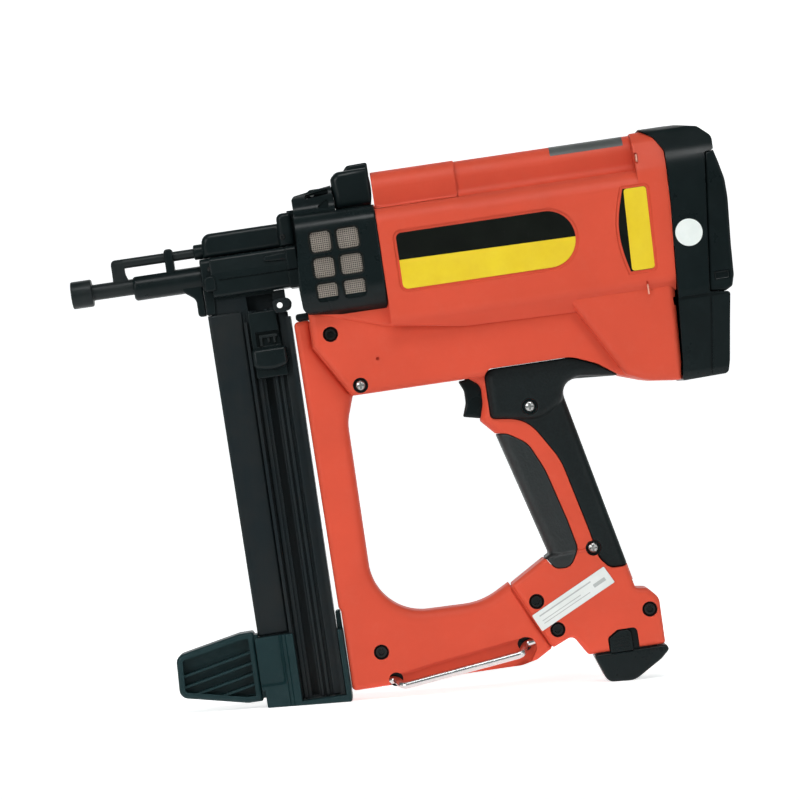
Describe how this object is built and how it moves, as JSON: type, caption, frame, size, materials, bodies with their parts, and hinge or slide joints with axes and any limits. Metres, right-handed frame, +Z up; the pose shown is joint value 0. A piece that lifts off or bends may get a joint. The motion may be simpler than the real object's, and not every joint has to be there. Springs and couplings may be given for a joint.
{
  "type": "gas-actuated nail gun",
  "caption": "Cordless gas-actuated concrete nailer with contact probe, side magazine, combustion chamber, D-frame pistol handle and slide-in battery.",
  "frame": {"origin": "centre of the bounding box, at the floor the tool stands on", "axes": "+Z up, +X from the nose back towards the filter cover, +Y towards the tool's right side; the tool stands on its magazine foot and battery with the barrel 4 degrees nose down"},
  "size_m": [0.43, 0.085, 0.3571],
  "materials": {
    "orange_plastic": "satin",
    "black_plastic": "satin",
    "soft_grip": "matte",
    "dark_metal": "satin",
    "steel": "satin",
    "chrome": "polished",
    "alloy": "satin",
    "yellow_trim": "satin",
    "grille": "satin",
    "foam": "matte",
    "label": "satin",
    "ceramic": "glazed",
    "circuit": "satin"
  },
  "bodies": {
    "tool": {"air_filter": "foam", "bumper": "soft_grip", "control_board": "circuit", "cylinder": "steel", "cylinder_head": "alloy", "door_pin": "steel", "end_badge_left": "yellow_trim", "end_badge_right": "yellow_trim", "fan_motor": "steel", "fastener_guide": "black_plastic", "filter_cover": "black_plastic", "finger_grip_left": "soft_grip", "finger_grip_right": "soft_grip", "follower_spring": "steel", "frame_left": "orange_plastic", "frame_right": "orange_plastic", "front_shroud": "black_plastic", "gas_can": "alloy", "gas_valve": "black_plastic", "housing_left": "orange_plastic", "housing_right": "orange_plastic", "magazine_cover": "dark_metal", "magazine_foot": "black_plastic", "magazine_latch": "dark_metal", "magazine_rail": "dark_metal", "nose_block": "black_plastic", "nose_cover": "black_plastic", "palm_grip_left": "soft_grip", "palm_grip_right": "soft_grip", "rating_label": "label", "rear_cover": "black_plastic", "return_spring": "steel", "screw_base_bottom": "dark_metal", "screw_base_front": "dark_metal", "screw_base_rear": "dark_metal", "screw_bridge": "dark_metal", "screw_lower_front": "chrome", "screw_pistol_low": "chrome", "screw_pistol_top": "chrome", "screw_upper_front": "dark_metal", "side_badge_left": "yellow_trim", "side_badge_right": "yellow_trim", "spark_plug": "ceramic", "support_foot": "black_plastic", "trigger_spring": "steel", "trigger_switch": "dark_metal", "vent_mesh_left": "grille", "vent_mesh_right": "grille"},
    "probe": {"contact_probe": "dark_metal", "probe_link": "steel", "combustion_sleeve": "alloy"},
    "piston": {"piston_driver": "steel"},
    "fan_rotor": {"fan": "alloy"},
    "trigger_lever": {"trigger": "black_plastic"},
    "follower": {"nail_follower": "black_plastic"},
    "door": {"gas_door": "black_plastic"},
    "battery_pack": {"battery": "black_plastic"},
    "latch_left": {"battery_latch_left": "black_plastic"},
    "latch_right": {"battery_latch_right": "black_plastic"},
    "bail_loop": {"bail": "chrome"}
  },
  "joints": [
    {"name": "probe_slide", "type": "slide", "parent": "tool", "child": "probe", "axis": [0.9976, 0, 0.0698], "range_m": [0, 0.024], "stiffness_N_per_m": 400, "springref_m": -0.03, "deforming": ["return_spring"]},
    {"name": "piston_drive", "type": "slide", "parent": "tool", "child": "piston", "axis": [-0.9976, 0, -0.0698], "range_m": [0, 0.11]},
    {"name": "fan_spin", "type": "hinge", "parent": "tool", "child": "fan_rotor", "pos_m": [0.16883, 0, 0.30409], "axis": [0.9976, 0, 0.0698], "continuous": true},
    {"name": "trigger_pull", "type": "hinge", "parent": "tool", "child": "trigger_lever", "pos_m": [0.04331, 0, 0.21111], "axis": [0, -1, 0], "range_deg": [0, 10], "stiffness_Nm_per_rad": 0.8, "springref_deg": -11.46, "deforming": ["trigger_spring"]},
    {"name": "follower_slide", "type": "slide", "parent": "tool", "child": "follower", "axis": [0.0698, 0, -0.9976], "range_m": [0, 0.158], "stiffness_N_per_m": 20, "springref_m": -0.25, "deforming": ["follower_spring"]},
    {"name": "gas_door_swing", "type": "hinge", "parent": "tool", "child": "door", "pos_m": [-0.05276, 0, 0.3307], "axis": [0, -1, 0], "range_deg": [0, 100]},
    {"name": "battery_slide", "type": "slide", "parent": "tool", "child": "battery_pack", "axis": [0.309, 0, -0.9511], "range_m": [0, 0.066]},
    {"name": "latch_left_press", "type": "slide", "parent": "battery_pack", "child": "latch_left", "axis": [0, 1, 0], "range_m": [0, 0.002], "stiffness_N_per_m": 800, "springref_m": -0.002},
    {"name": "latch_right_press", "type": "slide", "parent": "battery_pack", "child": "latch_right", "axis": [0, -1, 0], "range_m": [0, 0.002], "stiffness_N_per_m": 800, "springref_m": -0.002},
    {"name": "bail_swing", "type": "hinge", "parent": "tool", "child": "bail_loop", "pos_m": [0.02057, -0.012, 0.02031], "axis": [-0.9825, 0, -0.1862], "range_deg": [0, 45]}
  ]
}
